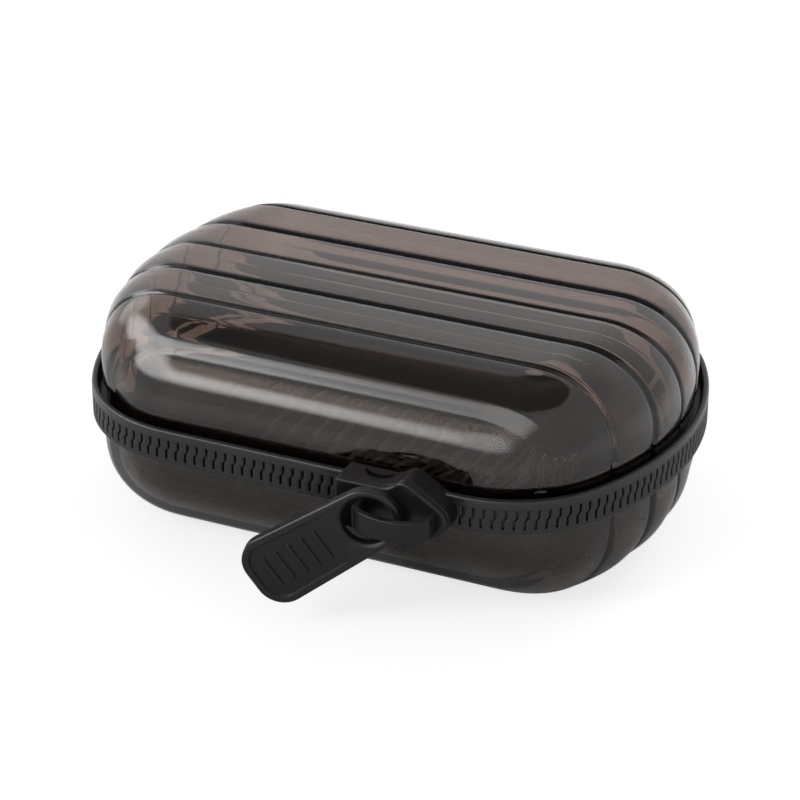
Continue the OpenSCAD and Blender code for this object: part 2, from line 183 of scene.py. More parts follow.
# ---- shader helpers ----
class Paint:
    """A material, or the world, under construction."""

    def __init__(self, owner):
        owner.use_nodes = True
        self.tree = owner.node_tree
        self.tree.nodes.clear()

    def add(self, kind, settings=None, sockets=None, out=0):
        """A node of that kind: its settings first, then the values or links of its sockets."""
        node = self.tree.nodes.new(kind)
        for key, value in (settings or {}).items():
            if key == "stops":
                ramp = node.color_ramp
                while len(ramp.elements) > 1:
                    ramp.elements.remove(ramp.elements[0])
                for k, (at, colour) in enumerate(value):
                    stop = ramp.elements[0] if k == 0 else ramp.elements.new(at)
                    stop.position, stop.color = at, (*colour, 1)
            else:
                setattr(node, key, value)
        for key, value in (sockets or {}).items():
            if isinstance(value, Wire):
                self.tree.links.new(value.socket, node.inputs[key])
            else:
                node.inputs[key].default_value = value
        return Wire(self, node.outputs[out] if len(node.outputs) else None)


class Wire:
    """A socket's output that can be used in sums."""

    def __init__(self, paint, socket):
        self.paint, self.socket = paint, socket

    def maths(self, operation, *others):
        return self.paint.add("ShaderNodeMath", {"operation": operation}, dict(enumerate([self, *others])))

    def __add__(self, other): return self.maths("ADD", other)
    def __mul__(self, other): return self.maths("MULTIPLY", other)
    def __sub__(self, other): return self.maths("SUBTRACT", other)
    def __rsub__(self, other): return (self * -1.0) + other
    __radd__, __rmul__ = __add__, __mul__


def noise(paint, where, scale, detail=3.0, rough=0.5):
    return paint.add("ShaderNodeTexNoise", {"noise_dimensions": "3D"},
                     {"Vector": where, "Scale": scale, "Detail": detail, "Roughness": rough})


def tint(paint, factor, dark, light):
    """Colour between two tones by a factor."""
    return paint.add("ShaderNodeMix", {"data_type": "RGBA"},
                     {"Factor": factor, "A": (*dark, 1), "B": (*light, 1)}, out=2)


def surface(paint, **sockets):
    """Ends a material in one Principled shader with these sockets."""
    shader = paint.add("ShaderNodeBsdfPrincipled", {}, {k.replace("_", " "): v for k, v in sockets.items()})
    paint.add("ShaderNodeOutputMaterial", {}, {"Surface": shader})


def place_of(paint):
    """The object's own coordinates."""
    return paint.add("ShaderNodeTexCoord", {}, {}, out=3)


def smoky_plastic(name):
    """Clear plastic dyed a smoky brown: the longer the way through it, the darker. The groove bottoms carry
    painted shade: there the base colour is mixed towards black. Lamps shine through it, dimmed by the dye."""
    material = bpy.data.materials.new(name)
    p = Paint(material)
    where = place_of(p)
    # painted shade: the mark attribute is 1 in the groove bottoms
    groove = p.add("ShaderNodeAttribute", {"attribute_name": "mark"}, {}, out=2)
    flow = noise(p, where, 30.0, 2.0)
    peel = noise(p, where, 260.0, 2.0)
    bump = p.add("ShaderNodeBump", {}, {"Height": peel, "Strength": 0.1, "Distance": 0.00002})
    tone = tint(p, flow, (0.93, 0.915, 0.905), (1.0, 1.0, 1.0))
    # painted shade in the grooves: the base colour goes towards black by the mark
    groove_shaded = p.add("ShaderNodeMix", {"data_type": "RGBA"},
                  {"Factor": groove, "A": tone, "B": (0, 0, 0, 1)}, out=2)
    clear = p.add("ShaderNodeBsdfPrincipled", {}, {
        "Base Color": groove_shaded, "Roughness": 0.02, "IOR": 1.5, "Transmission Weight": 1.0, "Normal": bump})
    lets = p.add("ShaderNodeBsdfTransparent", {}, {"Color": (0.93, 0.92, 0.91, 1)})
    shadow_ray = p.add("ShaderNodeLightPath", {}, {}, out=1)
    both = p.add("ShaderNodeMixShader", {}, {0: shadow_ray, 1: clear, 2: lets})
    dye = p.add("ShaderNodeVolumeAbsorption", {}, {"Color": (0.293, 0.128, 0.02, 1), "Density": 600.0})
    p.add("ShaderNodeOutputMaterial", {}, {"Surface": both, "Volume": dye})
    return material


def soft_black(name, dark, light, roughness, grain, shine):
    """Moulded soft black: fine matte grain, faint dusty patches, and glossier edges with a painted highlight.
    """
    material = bpy.data.materials.new(name)
    p = Paint(material)
    where = place_of(p)
    edge_highlight = p.add("ShaderNodeAttribute", {"attribute_name": "mark"}, {}, out=2)
    dust = noise(p, where, 120.0, 4.0, 0.6)
    fine = noise(p, where, grain, 2.0)
    # painted highlight: the marked edges are mixed towards the light tone
    tone = tint(p, dust * 0.7 + edge_highlight * 0.5, dark, light)
    bump = p.add("ShaderNodeBump", {}, {"Height": fine + dust * 0.6, "Strength": 0.12, "Distance": 0.00004})
    surface(p, Base_Color=tone, Roughness=dust * 0.12 + roughness - edge_highlight * 0.2,
            Specular_IOR_Level=shine, Normal=bump)
    return material


def tray_plastic(name):
    """Moulded dark plastic of the tray: smooth with faint flow marks."""
    material = bpy.data.materials.new(name)
    p = Paint(material)
    where = place_of(p)
    flow = noise(p, where, 45.0, 3.0)
    grain = noise(p, where, 500.0)
    bump = p.add("ShaderNodeBump", {}, {"Height": grain, "Strength": 0.04, "Distance": 0.00003})
    surface(p, Base_Color=tint(p, flow, (0.006, 0.0055, 0.0055), (0.012, 0.0105, 0.010)),
            Roughness=flow * 0.1 + 0.22, Normal=bump)
    return material


# Soft black: dark tone, light tone, roughness, grain per metre, specular level
smoke = smoky_plastic("smoky plastic")
band_black = soft_black("soft band black", (0.004, 0.004, 0.0045), (0.015, 0.015, 0.0165), 0.4, 5200.0, 0.38)
slider_black = soft_black("slider black", (0.003, 0.003, 0.0035), (0.012, 0.012, 0.013), 0.3, 4200.0, 0.22)
tab_black = soft_black("tab black", (0.004, 0.004, 0.0045), (0.014, 0.0145, 0.016), 0.32, 4600.0, 0.25)
tray_grey = tray_plastic("tray plastic")


# ---- shells ----
def wall_x(y, inset):
    """Half length of the plan outline, drawn in by inset, at the station y: the bowed end's circle, then
    the corner's circle."""
    a = np.abs(y)
    meet = CORNER_Y * (END_R - inset) / (END_R - CORNER_R)
    end = END_CX + np.sqrt(np.maximum((END_R - inset) ** 2 - a * a, 0))
    past = np.maximum(a - CORNER_Y, 0)
    corner = CORNER_X + np.sqrt(np.maximum((CORNER_R - inset) ** 2 - past**2, 0))
    return np.where(a < meet, end, corner)


def roof_half(y, xw):
    """Half length of the flat roof at the station y: a circle's arc, kept short of the wall at xw."""
    return np.minimum(ROOF_X - (ROOF_R - np.sqrt(ROOF_R**2 - y**2)), xw - 1)


def side_fall(y, edge):
    """Share of the full height at the station y: 1 on the roof, then a squared ellipse down to the edge."""
    u = np.clip((np.abs(y) - ROOF_Y) / (edge - ROOF_Y), 0, 1)
    return np.maximum(1 - u**SIDE_SQUARE, 0) ** (1 / SIDE_SQUARE)


def rib(y):
    """Height of the skin above the groove bottoms: a flat crown on each panel, round-bottomed grooves and a
    hair crease in each panel's middle. Past the outer groove a sloping step, from which the skin comes back."""
    a = np.abs(y)
    cell = np.minimum(np.floor(a / PITCH_Y), 2)
    start = cell * PITCH_Y
    end = np.where(cell < 2, start + PITCH_Y, OUTER_Y)
    s = np.clip(np.minimum(a - start, end - a) * 2 / (end - start), 0, 1)
    crown = np.where(a < OUTER_Y, CROWN * (1 - (1 - s) ** 4), 0)
    cut = sum(deep * np.exp(-(((a - c) / w) ** 2)) for c, w, deep in GROOVES)
    crease = sum(np.exp(-(((a - c) / CREASE_W) ** 2)) for c in CREASES)
    ramp = np.clip((a - STEP_FROM) / (STEP_TO - STEP_FROM), 0, 1)
    step = STEP_D * ramp * np.exp(-((np.maximum(a - STEP_TO, 0) / STEP_FADE) ** 2))
    return GROOVE_D + crown - cut - CREASE_D * crease - step


def groove_shade_mask(y):
    """Mask of the painted groove shade: 1 in the bottom of a groove, falling to 0 at its shoulders."""
    a = np.abs(y)
    return np.clip(sum(2 * deep * np.exp(-(((a - c) / w / 0.8) ** 2)) for c, w, deep in GROOVES), 0, 1)


def stations():
    """Stations across the box: close together at each groove, crease and step, and towards the walls."""
    near = np.array([-1.4, -1.0, -0.75, -0.55, -0.4, -0.27, -0.13, 0, 0.13, 0.27, 0.4, 0.55, 0.75, 1.0, 1.4])
    small = np.array([-0.5, -0.3, -0.15, 0, 0.15, 0.3, 0.5])
    past_step, least = OUTER_Y + 0.5, 0.06
    ys = [near[near >= 0], near + PITCH_Y, near + 2 * PITCH_Y, np.arange(-1.3, 2.6, 0.16) + OUTER_Y]
    ys += [small + c for c in CREASES]
    ys += [np.arange(2, OUTER_Y, 1.1)]
    ys += [past_step + (EDGE_Y - past_step) * np.sin(np.radians(np.linspace(20, 90, 26)))]
    y = np.unique(np.round(np.concatenate(ys), 3))
    y = y[np.r_[True, np.diff(y) > least]]
    y[-1] = EDGE_Y
    return np.concatenate([-y[:0:-1], y])


# Rows of points up the skirt: height, and the share of the ribs' relief there
SKIRT_ROWS = ((0, 0), (0.55, 0), (SKIRT + 0.1, 0), (SKIRT + 0.25, 0.35), (SKIRT + 0.42, 0.8), (SKIRT + 0.7, 1),
              (SKIRT + 1.6, 1))


def shell_sections(rise, wall, ribbed, steps=44, flat=9):
    """Sections at every station and the masks of their painted groove shade: up the plain skirt, then a quarter
    of a squared ellipse whose roof falls towards front and back by another squared ellipse, and the same
    mirrored."""
    y = stations() * (EDGE_Y - wall) / EDGE_Y
    xw = wall_x(y, RIM_IN + wall)
    xw, xt = xw[:, None], roof_half(y, xw)[:, None]
    foot = SKIRT + WALL_RISE
    h = (foot + (rise - wall - foot) * side_fall(y, EDGE_Y - wall))[:, None]
    e = (rib(y) if ribbed else np.zeros_like(y))[:, None]
    panel = np.mod(np.minimum(np.abs(y), 2.9 * PITCH_Y), PITCH_Y) / PITCH_Y
    bulge = (END_CROWN * ribbed * np.sin(np.pi * panel) ** 2)[:, None]
    t = np.radians(np.linspace(0, 90, steps))[None]
    cos, sin = np.maximum(np.cos(t), 0), np.sin(t)
    x = xt + (xw - xt) * cos ** (2 / END_SQUARE) + e * cos + bulge * sin * cos * 2
    z = foot + (h - foot) * sin ** (2 / END_SQUARE) + e * sin
    lift, grow = np.array(SKIRT_ROWS, float).T[:, None]
    x = np.hstack([xw + e * grow, x])
    z = np.hstack([np.broadcast_to(lift, (len(y), len(SKIRT_ROWS))), z])
    roof_x = np.linspace(1, 0, flat + 2)[None, 1:] * x[:, -1:]
    x = np.hstack([x, roof_x, -roof_x[:, -2::-1], -x[:, ::-1]])
    z_roof = np.broadcast_to(z[:, -1:], roof_x.shape)
    z = np.hstack([z, z_roof, z_roof[:, 1:], z[:, ::-1]])
    # mask of the painted shade in the grooves of the outer skin
    mark = np.broadcast_to(groove_shade_mask(y)[:, None] if ribbed else 0.0, x.shape)
    return np.stack([x, np.broadcast_to(y[:, None], x.shape), z], -1), mark


def rest_pad(skin):
    """Flat pad under the base, on which the box stands: a rounded rectangle with a rounded lower edge."""
    r = PAD_CORNER
    ax, ay = PAD_LEN / 2 - r, PAD_W / 2 - r
    corners = [(1, 1, 0), (-1, 1, 90), (-1, -1, 180), (1, -1, 270)]
    loop = np.vstack([arc(sx * ax, sy * ay, r, a, a + 90, 8) for sx, sy, a in corners])
    rows = [ring(loop, inset, z) for inset, z in ((0.25, 0), (0.08, 0.06), (0, 0.2), (0, RIBS_UP + 0.4))]
    n = skin.grid(np.stack(rows), close_v=True)
    skin.cap(n[0])
    skin.cap(n[-1])


def shell(name, rise, base_z, turned):
    """Outer and inner skin joined by a rim, the front and back closed by their flat lower walls."""
    skin = Skin()
    out, mark = shell_sections(rise, 0, True)
    inn, _ = shell_sections(rise, WALL, False)
    # the painted groove shade fades out towards the skirt
    mark = mark * np.clip((out[..., 2] - SKIRT) / 2, 0, 1)
    for p in (out, inn):
        if turned:
            p[..., 1:] *= -1
        p[..., 2] += base_z
    a = skin.grid(out, mark=mark)
    b = skin.grid(inn)
    for row in (a[0], a[-1], b[0], b[-1]):
        skin.cap(row)
    skin.join(a, b)
    if turned:
        rest_pad(skin)
    return skin.object(name, smoke, "smoky_shell", sharp=60)


lid = shell("lid", LID_RISE - GROOVE_D - CROWN + SKIRT, BAND_Z1 - SKIRT, False)
base = shell("base", BASE_DROP - RIBS_UP + SKIRT, BAND_Z0 + SKIRT, True)
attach(lid, "lid")
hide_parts("lid_shell")
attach(base, "base")
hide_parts("base_shell")


# ---- zipper band ----
# Each stretch of the outline: number of tooth pitches, centre from and to, direction from and to, radius
STRETCHES = [
    (30, (-CORNER_X, -CORNER_Y), (CORNER_X, -CORNER_Y), -90, -90, CORNER_R),
    (14, (CORNER_X, -CORNER_Y), (CORNER_X, -CORNER_Y), -90, -CORNER_ANG, CORNER_R),
    (30, (END_CX, 0), (END_CX, 0), -CORNER_ANG, CORNER_ANG, END_R),
    (14, (CORNER_X, CORNER_Y), (CORNER_X, CORNER_Y), CORNER_ANG, 90, CORNER_R),
    (30, (CORNER_X, CORNER_Y), (-CORNER_X, CORNER_Y), 90, 90, CORNER_R),
    (14, (-CORNER_X, CORNER_Y), (-CORNER_X, CORNER_Y), 90, 180 - CORNER_ANG, CORNER_R),
    (30, (-END_CX, 0), (-END_CX, 0), 180 - CORNER_ANG, 180 + CORNER_ANG, END_R),
    (14, (-CORNER_X, -CORNER_Y), (-CORNER_X, -CORNER_Y), 180 + CORNER_ANG, 270, CORNER_R),
]
TEETH = sum(s[0] for s in STRETCHES)


def along(q, inset):
    """Plan point at q tooth pitches round the outline, drawn in by inset: the stretch's centre plus its
    radius less the inset, in the stretch's direction."""
    n = np.array([s[0] for s in STRETCHES])
    start = np.r_[0, np.cumsum(n)]
    q = np.mod(q, TEETH)
    k = np.clip(np.searchsorted(start, q, "right") - 1, 0, len(n) - 1)
    t = (q - start[k]) / n[k]
    c0, c1 = (np.array([s[j] for s in STRETCHES], float) for j in (1, 2))
    d0, d1, r = (np.array([s[j] for s in STRETCHES], float) for j in (3, 4, 5))
    c = c0[k] + (c1 - c0)[k] * t[..., None]
    d = np.radians(d0[k] + (d1 - d0)[k] * t)
    reach = r[k] - inset
    return c[..., 0] + reach * np.cos(d), c[..., 1] + reach * np.sin(d)


# One tooth slot: place in pitches, depth of the press there
SLOT = ((-0.5, 0), (-0.3, 0), (-0.185, 0.02), (-0.125, 0.07), (-0.09, 0.62), (0.09, 0.62), (0.125, 0.07),
        (0.185, 0.02), (0.3, 0))


def zipper_band():
    """A profile carried round the outline. Its outer face is pressed in by the tooth slots: the points
    of each pitch sit on the slot's edges, and lean with the slot's jog at half height. Its lip is notched
    beside the shells' grooves."""
    r, thick = 0.42, 1.5
    h = BAND_Z1 - BAND_Z0
    seat = (h - 1.2) / 2
    slot_top, slot_high, jog_high, jog = 1.8, 3.7, 0.3, 0.28 / 1.9
    low, high = h - slot_top - slot_high, h - slot_top
    mid = (low + high) / 2
    face = np.array([0.55, low - 0.22, low - 0.06, low + 0.06, low + 0.3, mid - 0.95, mid - 0.5, mid - 0.25,
                     mid, mid + 0.25, mid + 0.5, mid + 0.95, high - 0.3, high - 0.06, high + 0.06,
                     high + 0.22, h - 0.9, h - 0.6])
    bottom = arc(r, r, r, 270, 180, 6)
    top = arc(r, h - r, r, 180, 90, 6)
    back, tip = LIP_IN + LIP_T, h + LIP_RISE
    inner = np.array([(0.95, h), (1.06, h - 0.08), (thick, h - 1.5), (thick, seat + 1.2), (LIP_IN, seat + 1.2),
                      (LIP_IN, tip - 0.25), (LIP_IN + 0.08, tip - 0.08), (LIP_IN + 0.25, tip),
                      (back - 0.25, tip), (back - 0.08, tip - 0.08), (back, tip - 0.25), (back, seat + 0.15),
                      (back - 0.15, seat), (thick, seat), (thick, 1.5), (1.06, 0.08), (0.95, 0)])
    inset = np.concatenate([bottom[:, 0], np.zeros(len(face)), top[:, 0], inner[:, 0]])
    z = np.concatenate([bottom[:, 1], face, top[:, 1], inner[:, 1]])
    in_slot = ((face > low - 0.01) & (face < high + 0.01)).astype(float)
    deep = np.concatenate([np.zeros(len(bottom)), in_slot, np.zeros(len(top) + len(inner))])
    lean = np.clip((z - mid) / jog_high, -1, 1) * (inset < 1) * jog
    offs, press = np.array(SLOT, float).T
    q = (np.arange(TEETH)[:, None] + 0.5 + offs[None]).reshape(-1)
    _, y0 = along(q, 0.0)
    centre_x, centre_y = along(np.floor(q) + 0.5, 0.0)
    under = (centre_x > SLIDER_X - SLIDER_TAIL - 0.5) & (centre_x < SLIDER_X + SLIDER_NOSE + 0.5)
    depth = np.tile(press, TEETH) * ~(under & (centre_y < -HALF_W + 0.5))
    total = inset[None] + depth[:, None] * deep[None]
    x, y = along(q[:, None] + lean[None], total)
    past = [y0 - k * PITCH_Y for k in range(-2, 3)]
    notch = sum(0.6 * np.exp(-(((d + 1.4) / 0.9) ** 2)) - 0.35 * np.exp(-((d / 0.6) ** 2)) for d in past)
    p = np.stack([x, y, BAND_Z0 + z + notch[:, None] * (z > h + 0.2)[None]], -1)
    # painted highlight along the top rounded edge of the outer face
    edge_highlight = np.broadcast_to(((inset < 0.4) & (z > h - 1)).astype(float)[None], x.shape)
    skin = Skin()
    skin.grid(p, close_u=True, close_v=True, mark=edge_highlight)
    return skin.object("zipper_band", band_black, "soft_band", sharp=50)


band = zipper_band()
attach(band, "base")
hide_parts("zip_band")


# ---- slider, bail and pull tab ----
def slider_outline():
    """Front view of the slider: a straight tail, a hollow neck, two crests and a rounded nose."""
    half, crest_r, nose_r, neck_r = 4.7, 2.2, 3.2, 4.0
    crest = np.array([1.1, 6.4 - crest_r])
    nose = np.array([SLIDER_NOSE - nose_r, 0])
    reach = math.sqrt((neck_r + crest_r) ** 2 - (neck_r + half - crest[1]) ** 2)
    neck = np.array([crest[0] - reach, half + neck_r])
    d = crest - nose
    lean = math.degrees(math.atan2(d[1], d[0]) - math.acos((nose_r - crest_r) / np.hypot(*d)))
    to_neck = math.degrees(math.atan2(*(neck - crest)[::-1]))
    upper = np.vstack([
        arc(*nose, nose_r, 0, lean, 14), arc(*crest, crest_r, lean, to_neck, 22),
        arc(*neck, neck_r, to_neck - 180, -90, 12),
        np.c_[np.linspace(neck[0], -SLIDER_TAIL + 0.6, 44)[1:], np.full(43, half)],
        arc(-SLIDER_TAIL + 0.5, half - 0.5, 0.5, 90, 180, 6)])
    lower = (upper * [1, -1])[::-1]
    return tidy(np.vstack([upper, lower[:-1]]))


def slider_body():
    """The outline carried from the back to the front face, with a rounded edge, a fine step behind the
    front plate, and a crescent pressed into its top between two arcs."""
    loop = slider_outline()
    n = normals_of(loop)
    back = -38.62
    edge = arc(0.5, SLIDER_FRONT + 0.5, 0.5, 270, 180, 7)
    groove = [(0, -44.1), (0.06, -43.98), (0.24, -43.9), (0.24, -43.75), (0.1, -43.55), (0.04, -43.4)]
    body = np.concatenate([np.linspace(-43.2, -42.2, 6), np.arange(-42.05, -39.0, 0.11), [back]])
    rows = np.vstack([edge, groove, np.c_[np.full(len(body), 0.04), body]])
    inset, y = rows[:, 0][:, None], rows[:, 1][:, None]
    x = loop[None, :, 0] - inset * n[None, :, 0] + SLIDER_X
    z = loop[None, :, 1] - inset * n[None, :, 1] + MID_Z
    hole_x, hole_y, hole_deep, near_sag, far_sag = SLIDER_X - 5.4, -39.6, 3.2, 2.3, 1.1

    def within(sag):
        """How far each point lies inside the circle whose arc sags that much ahead of the hole's corners."""
        r = (2.8**2 + sag**2) / (2 * sag)
        return r - np.hypot(x - hole_x, y - (hole_y - sag + r))

    on_top = (z > MID_Z + 4) & (n[None, :, 1] > 0.9)
    z = z - hole_deep * ((within(near_sag) > 0) & (within(far_sag) < 0) & (y < hole_y) & on_top)
    skin = Skin()
    p = np.stack([x, np.broadcast_to(y, x.shape), z], -1)
    # painted highlight, at half strength, on the rounded edge round the front face
    rounded = np.broadcast_to(((inset > 0.05) & (y < -44.4)).astype(float), x.shape)
    ids = skin.grid(p, close_v=True, mark=rounded * 0.5)
    skin.cap(ids[0])
    skin.cap(ids[-1])
    return skin


BAIL_H, BAIL_T, BAIL_R = 4.0, 1.3, 0.32


def rounded_strip(path, width, thick, r, z):
    """Points of a flat strip on edge, carried along a plan path: a rounded rectangle, thick across and
    width high."""
    step = np.gradient(path, axis=0)
    step /= np.hypot(*step.T)[:, None]
    side = np.c_[step[:, 1], -step[:, 0]]
    a, b = thick / 2 - r, width / 2 - r
    section = np.vstack([arc(sx * a, sz * b, r, t, t + 90, 6) for sx, sz, t in
                         ((1, 1, 0), (-1, 1, 90), (-1, -1, 180), (1, -1, 270))])
    p = np.zeros((len(path), len(section), 3))
    p[..., :2] = path[:, None] + side[:, None] * section[None, :, :1]
    p[..., 2] = z + section[None, :, 1]
    return p


def bail_path():
    """Leg, rounded corner, bowed front, rounded corner, leg."""
    half, reach, bow, t, corner = 7.2, 6.0, 2.4, BAIL_T, 1.3
    r = (half**2 + bow**2) / (2 * bow) - t / 2
    cy = SLIDER_FRONT - reach + t / 2 + r
    edge = half - t / 2
    a = math.degrees(math.asin((edge - corner) / (r - corner)))
    ccy = cy - math.sqrt((r - corner) ** 2 - (edge - corner) ** 2)
    legs = [(-edge, SLIDER_FRONT + 0.4), (-edge, SLIDER_FRONT - 0.4)]
    left = np.vstack([legs, arc(-edge + corner, ccy, corner, 180, 270 - a, 9)])
    front = arc(0, cy, r, 270 - a, 270 + a, 41)[1:-1]
    right = (left * [-1, 1])[::-1]
    return np.vstack([left, front, right]) + [SLIDER_X, 0]


def slider_and_bail():
    """The slider's body with the bail strip standing on its front."""
    skin = slider_body()
    ids = skin.grid(rounded_strip(bail_path(), BAIL_H, BAIL_T, BAIL_R, MID_Z), close_v=True)
    skin.cap(ids[0])
    skin.cap(ids[-1])
    return skin.object("zipper_slider", slider_black, "soft_band", sharp=42, weighted=True)


slider = slider_and_bail()
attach(slider, "base")
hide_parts("zip_slider")

# Pull tab, drawn flat with the middle of its hole at the origin and its face up, then put in its place
TAB_T, TAB_LEN, TAB_W = 2.3, 24.6, 13.5
RING_R, HOLE_R, TAB_CORNER, RIM, PANEL_D = 5.9, 4.5, 4.9, 1.35, 0.45
PANEL_X = RING_R + 0.9


def tab_form(grow):
    """Ring radius, far corner's radius and centre, and the direction in which the straight side faces, of
    the tab's outline moved out by grow."""
    near, far = RING_R + grow, TAB_CORNER + grow
    at = np.array([TAB_LEN - TAB_CORNER, TAB_W / 2 - TAB_CORNER])
    lean = math.degrees(math.atan2(at[1], at[0]) + math.acos((near - far) / np.hypot(*at)))
    return near, far, at, lean


def tab_outline():
    """A ring at the near end, straight sides that spread, and a far end with round corners."""
    near, far, at, lean = tab_form(0)
    return tidy(np.vstack([arc(*at, far, 0, lean, 20), arc(0, 0, near, lean, 360 - lean, 80),
                           arc(at[0], -at[1], far, -lean, 0, 20)]))


def panel_outline():
    """The sunk panel: the tab's outline drawn in by the rim, with round corners at the ring's end."""
    near, far, at, lean = tab_form(-RIM)
    r = 1.1
    cx = PANEL_X + r
    cy = (near - r - cx * math.cos(math.radians(lean))) / math.sin(math.radians(lean))
    upper = np.vstack([arc(*at, far, 0, lean, 20), arc(cx, cy, r, lean, 180, 12)])
    return tidy(np.vstack([upper, (upper * [1, -1])[::-1]]))


def pull_tab():
    """Rings of points down each wall with rounded edges, flat faces between them, and five grip bars."""
    skin = Skin()
    out, panel, hole = tab_outline(), panel_outline(), arc(0, 0, HOLE_R, 0, 360, 97)[:-1]
    r = 0.38
    wall = np.vstack([arc(r, TAB_T - r, r, 90, 180, 6), arc(r, r, r, 180, 270, 6)])
    # painted highlight on the rounded edge round the tab's face
    edge_highlight = np.repeat((np.arange(len(wall)) < 5).astype(float)[:, None], len(out), 1)
    side = skin.grid(np.stack([ring(out, i, z) for i, z in wall]), close_v=True, mark=edge_highlight)
    chamfer = [(-0.62, TAB_T), (-0.55, TAB_T - 0.03), (-0.12, TAB_T - 0.42), (-0.03, TAB_T - 0.52),
               (0, TAB_T - 0.65), (0, 0.5), (-0.1, 0.2), (-0.35, 0)]
    bore = skin.grid(np.stack([ring(hole, i, z) for i, z in chamfer]), close_v=True)
    step = [(-0.16, TAB_T), (-0.07, TAB_T - 0.03), (0, TAB_T - 0.1), (0.04, TAB_T - PANEL_D + 0.1),
            (0.1, TAB_T - PANEL_D + 0.03), (0.2, TAB_T - PANEL_D)]
    sunk = skin.grid(np.stack([ring(panel, i, z) for i, z in step]), close_v=True)
    skin.cap(side[0], bore[0], sunk[0])
    skin.cap(sunk[-1])
    skin.cap(side[-1], bore[-1])
    bars, bar_half, bar_r = 5, 2.6, 0.45
    rise = [(0.16, TAB_T - 0.02), (0.07, TAB_T - 0.05), (0.0, TAB_T - 0.14),
            (-0.03, TAB_T - PANEL_D + 0.05), (-0.1, TAB_T - PANEL_D - 0.01)]
    for cx in np.linspace(PANEL_X, TAB_LEN - RIM, bars + 2)[1:-1]:
        ends = ((1, 0), (-1, 180))
        bar = tidy(np.vstack([arc(cx, s * bar_half, bar_r, a, a + 180, 12) for s, a in ends]))
        lug = skin.grid(np.stack([ring(bar, i, z) for i, z in rise]), close_v=True)
        skin.cap(lug[0])
        skin.cap(lug[-1])
    droop, swing = math.radians(35), math.radians(15)
    reach = (RING_R + HOLE_R) / 2
    pivot = (SLIDER_X, -47.1, MID_Z + reach * math.sin(droop))
    m = np.array(Matrix.Translation(pivot) @ Matrix.Rotation(swing, 4, "Z")
                 @ Matrix.Rotation(math.pi / 2, 4, "X") @ Matrix.Rotation(math.pi + droop, 4, "Z")
                 @ Matrix.Translation((reach, 0, -TAB_T / 2)))
    skin.points = [np.vstack(skin.points) @ m[:3, :3].T + m[:3, 3]]
    return skin.object("pull_tab_piece", tab_black, "tab_plastic", sharp=42, weighted=True)


tab = pull_tab()
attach(tab, "pull_tab")
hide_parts("pull_tab")


# ---- drain tray ----
def dish_skin(depth, inset, rows, floor_x, steps=14):
    """Sections of the dish from its rim down: a short straight wall, a quarter of a squared ellipse to the
    floor, the floor's points, and the same mirrored. The floor rises towards front and back."""
    edge, outer = HALF_W - inset, HALF_W - TRAY_IN
    a = np.abs(rows)
    beyond = ROOF_Y + (a - ROOF_Y) * (edge - ROOF_Y) / (outer - ROOF_Y)
    y = np.sign(rows) * np.where(a <= ROOF_Y, a, beyond)
    xw = wall_x(y, inset)
    xt = roof_half(y, xw)
    h = TRAY_RIM + (depth - TRAY_RIM) * side_fall(y, edge)
    t = np.radians(np.linspace(0, 90, steps))[None]
    x = xt[:, None] + (xw - xt)[:, None] * np.maximum(np.cos(t), 0) ** (2 / END_SQUARE)
    z = TRAY_RIM + (h - TRAY_RIM)[:, None] * np.sin(t) ** (2 / END_SQUARE)
    x, z = np.hstack([xw[:, None], x]), np.hstack([np.zeros((len(y), 1)), z])
    level = floor_x[None] * np.minimum(1, xt / (floor_x.max() + 0.4))[:, None]
    x = np.hstack([x, level[:, ::-1], -x[:, ::-1]])
    z = np.hstack([z, np.broadcast_to(h[:, None], level.shape), z[:, ::-1]])
    return np.stack([x, np.broadcast_to(y[:, None], x.shape), TRAY_FLOOR_Z + TRAY_DEPTH - z], -1)


def dish_level(down, depth, n=90, ends=38):
    """Plan outline of a deep dish at a distance down from its rim: at each station the section's half length,
    up to the station where the dish is just that deep, and straight lines along front and back."""
    edge = HALF_W - TRAY_IN
    r = (down - TRAY_RIM) / (depth - TRAY_RIM)
    reach = ROOF_Y + (1 - r**SIDE_SQUARE) ** (1 / SIDE_SQUARE) * (edge - ROOF_Y)
    y = reach * np.sin(np.radians(np.linspace(-90, 90, n)))
    xw = wall_x(y, TRAY_IN)
    xt = roof_half(y, xw)
    share = np.minimum(r / side_fall(y, edge), 1)
    x = xt + (xw - xt) * np.maximum(1 - share**END_SQUARE, 0) ** (1 / END_SQUARE)
    across = np.linspace(1, -1, ends + 2)[1:-1]
    right = np.c_[x, y]
    top = np.c_[across * x[-1], np.full(ends, y[-1])]
    return np.vstack([right, top, -right, -top])


def tray_foot(skin):
    """The wall on which the dish stands, from inside the dish's wall just under the rim: outer outlines at
    falling levels of a deeper dish that follows the base, then the same ones drawn in, going up again."""
    rim_z = TRAY_FLOOR_Z + TRAY_DEPTH
    levels = (2.6, 3.2, 4.2, 5.4, 6.6, 7.8, 9.0, 10.2, 11.2, 12.2, 13.2, 14.0, 14.7, 15.2, 15.5)
    rows = [(dish_level(down, FOOT_DEPTH), rim_z - down) for down in levels]
    out = [ring(loop, 0, z) for loop, z in rows]
    inn = [ring(loop, FOOT_T, z) for loop, z in rows[::-1]]
    root = ring(rows[0][0], FOOT_T / 2, rows[0][1] + 0.2)
    skin.grid(np.stack([root, *out, *inn]), close_u=True, close_v=True)


